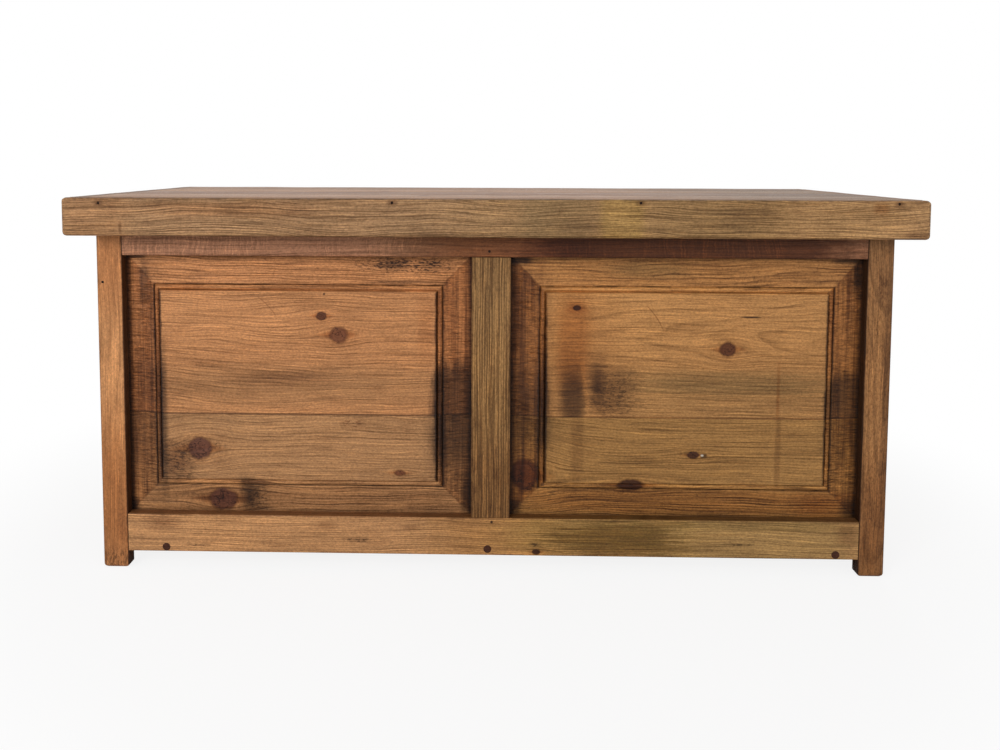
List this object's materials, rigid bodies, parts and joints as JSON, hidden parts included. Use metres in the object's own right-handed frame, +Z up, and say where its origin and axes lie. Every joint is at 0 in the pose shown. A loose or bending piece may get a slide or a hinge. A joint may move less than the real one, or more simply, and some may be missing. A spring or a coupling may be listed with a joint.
{
  "type": "storage trunk",
  "caption": "Rectangular frame-and-panel pine storage trunk on short feet, with raised panels and an overhanging plank lid hinged along the back.",
  "frame": {"origin": "on the ground, under the middle of the lid", "axes": "+X along the front from left to right, +Y from the front to the back, +Z up"},
  "size_m": [1.22, 0.54, 0.554],
  "materials": {
    "lid_pine": "satin brown stain over knotty pine",
    "frame_pine": "satin tan stain over pine",
    "panel_pine": "satin honey stain over knotty pine, dark glaze in the bevels",
    "inner_pine": "plain sanded pine",
    "hinge_steel": "dark bronze"
  },
  "bodies": {
    "body": {"leg_front_left": "frame_pine", "leg_front_right": "frame_pine", "leg_back_left": "frame_pine", "leg_back_right": "frame_pine", "front_top_rail": "frame_pine", "front_bottom_rail": "frame_pine", "front_muntin": "frame_pine", "back_top_rail": "frame_pine", "back_bottom_rail": "frame_pine", "back_muntin": "frame_pine", "left_top_rail": "frame_pine", "left_bottom_rail": "frame_pine", "right_top_rail": "frame_pine", "right_bottom_rail": "frame_pine", "front_left_panel_upper": "panel_pine", "front_left_panel_lower": "panel_pine", "front_right_panel_upper": "panel_pine", "front_right_panel_lower": "panel_pine", "left_panel_upper": "panel_pine", "left_panel_lower": "panel_pine", "right_panel_upper": "panel_pine", "right_panel_lower": "panel_pine", "back_left_panel_upper": "panel_pine", "back_left_panel_lower": "panel_pine", "back_right_panel_upper": "panel_pine", "back_right_panel_lower": "panel_pine", "floor_bearer_left": "inner_pine", "floor_bearer_middle": "inner_pine", "floor_bearer_right": "inner_pine", "floor_board_1": "inner_pine", "floor_board_2": "inner_pine", "floor_board_3": "inner_pine", "floor_board_4": "inner_pine", "hinge_left_body_leaf": "hinge_steel", "hinge_left_pin": "hinge_steel", "hinge_middle_body_leaf": "hinge_steel", "hinge_middle_pin": "hinge_steel", "hinge_right_body_leaf": "hinge_steel", "hinge_right_pin": "hinge_steel"},
    "lid": {"lid_plank_1": "lid_pine", "lid_plank_2": "lid_pine", "lid_plank_3": "lid_pine", "lid_plank_4": "lid_pine", "lid_edging_front": "lid_pine", "lid_edging_back": "lid_pine", "lid_edging_left": "lid_pine", "lid_edging_right": "lid_pine", "lid_batten_left": "inner_pine", "lid_batten_middle": "inner_pine", "lid_batten_right": "inner_pine", "hinge_left_lid_leaf": "hinge_steel", "hinge_middle_lid_leaf": "hinge_steel", "hinge_right_lid_leaf": "hinge_steel"}
  },
  "joints": [
    {"name": "lid_hinge", "type": "hinge", "parent": "body", "child": "lid", "pos_m": [0, 0.2403, 0.4942], "axis": [-1, 0, 0], "range_deg": [0, 98]}
  ]
}
